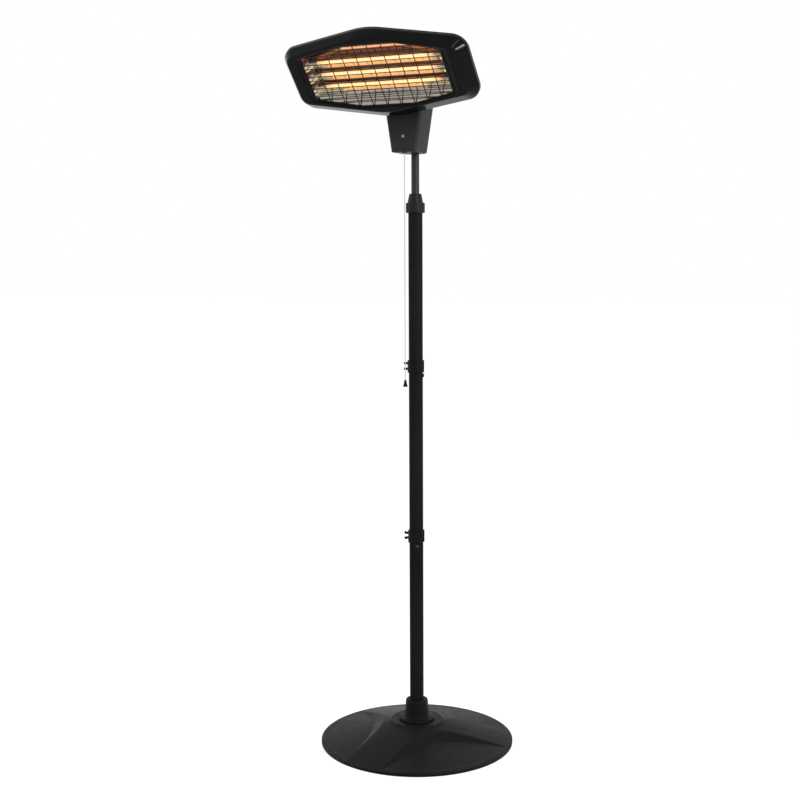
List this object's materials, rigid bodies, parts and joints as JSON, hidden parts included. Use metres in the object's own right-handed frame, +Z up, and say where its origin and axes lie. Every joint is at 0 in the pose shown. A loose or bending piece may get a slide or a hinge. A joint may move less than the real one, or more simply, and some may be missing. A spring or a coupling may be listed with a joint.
{
  "type": "infrared patio heater tower",
  "caption": "Free-standing infrared heater: tilting quartz lamp head with wire guard on a telescopic mast with twist lock, pull switch and weighted round base.",
  "frame": {"origin": "on the floor at the mast's axis, in the centre of the round base", "axes": "+Z up the mast, -Y the side that the lamp head faces, +X to the right of someone who looks along +Y"},
  "size_m": [0.5, 0.5438, 1.7881],
  "materials": {
    "base_black": "satin",
    "tube_black": "satin",
    "cement": "matte",
    "plastic_black": "matte",
    "neck_black": "satin",
    "bezel_black": "gloss",
    "housing_black": "satin",
    "rod_black": "satin",
    "guide_nylon": "matte",
    "zinc_steel": "satin",
    "cast_aluminium": "matte",
    "guard_wire": "satin",
    "reflector_metal": "polished",
    "quartz": "gloss",
    "glowing_coil": "matte",
    "white_ceramic": "matte",
    "terminal_white": "matte",
    "rubber_black": "matte",
    "cord_grey": "matte"
  },
  "bodies": {
    "stand": {"base_cover": "base_black", "ballast": "cement", "base_plate": "base_black", "rubber_feet": "rubber_black", "centre_foot": "rubber_black", "base_bolt": "zinc_steel", "base_washer": "zinc_steel", "tube_foot_plug": "zinc_steel", "base_collar": "plastic_black", "lower_tube": "tube_black", "middle_tube": "tube_black", "upper_tube": "tube_black", "joint_screws": "zinc_steel", "cable_clip_lower": "plastic_black", "cable_clip_upper": "plastic_black", "lock_sleeve": "plastic_black", "lock_collet": "guide_nylon"},
    "collar": {"twist_collar": "plastic_black"},
    "guide": {"guide_bush": "guide_nylon"},
    "mast": {"inner_rod": "rod_black", "rod_end_cap": "guide_nylon", "retaining_ring": "zinc_steel", "neck_front_shell": "neck_black", "neck_rear_shell": "neck_black", "neck_screws": "zinc_steel", "rod_socket": "cast_aluminium", "socket_bolt": "zinc_steel", "socket_nut": "zinc_steel", "terminal_block": "terminal_white", "cable_gland": "plastic_black", "gland_nut": "plastic_black", "pull_switch": "terminal_white", "cord_bush": "plastic_black", "friction_discs": "guide_nylon"},
    "pull": {"switch_plunger": "guide_nylon", "pull_cord": "cord_grey", "pull_bell": "plastic_black"},
    "head": {"tilt_bolt": "zinc_steel", "tilt_nut": "zinc_steel", "tilt_washers": "zinc_steel", "tilt_bracket": "tube_black", "bracket_screws": "zinc_steel", "front_bezel": "bezel_black", "rear_housing": "housing_black", "housing_screws": "zinc_steel", "guard_frame": "guard_wire", "guard_uprights": "guard_wire", "guard_cross_wires": "guard_wire", "reflector": "reflector_metal", "reflector_screws": "zinc_steel", "lamp_bracket_left": "zinc_steel", "lamp_bracket_right": "zinc_steel", "heat_shield": "zinc_steel", "lamp_bottom": "quartz", "lamp_middle": "quartz", "lamp_top": "quartz", "heating_coils": "glowing_coil", "lamp_caps": "white_ceramic"}
  },
  "joints": [
    {"name": "collar_lock", "type": "hinge", "parent": "stand", "child": "collar", "pos_m": [0, 0, 1.384], "axis": [0, 0, 1], "range_deg": [0, 90]},
    {"name": "mast_height", "type": "slide", "parent": "stand", "child": "guide", "axis": [0, 0, 1], "range_m": [-0.075, 0.225]},
    {"name": "mast_swivel", "type": "hinge", "parent": "guide", "child": "mast", "pos_m": [0, 0, 1.384], "axis": [0, 0, 1], "range_deg": [-90, 90]},
    {"name": "switch_pull", "type": "slide", "parent": "mast", "child": "pull", "axis": [0, 0, -1], "range_m": [0, 0.008], "stiffness_N_per_m": 500, "springref_m": -0.002},
    {"name": "head_tilt", "type": "hinge", "parent": "mast", "child": "head", "pos_m": [0, -0.06, 1.68], "axis": [1, 0, 0], "range_deg": [-43, 20]}
  ]
}
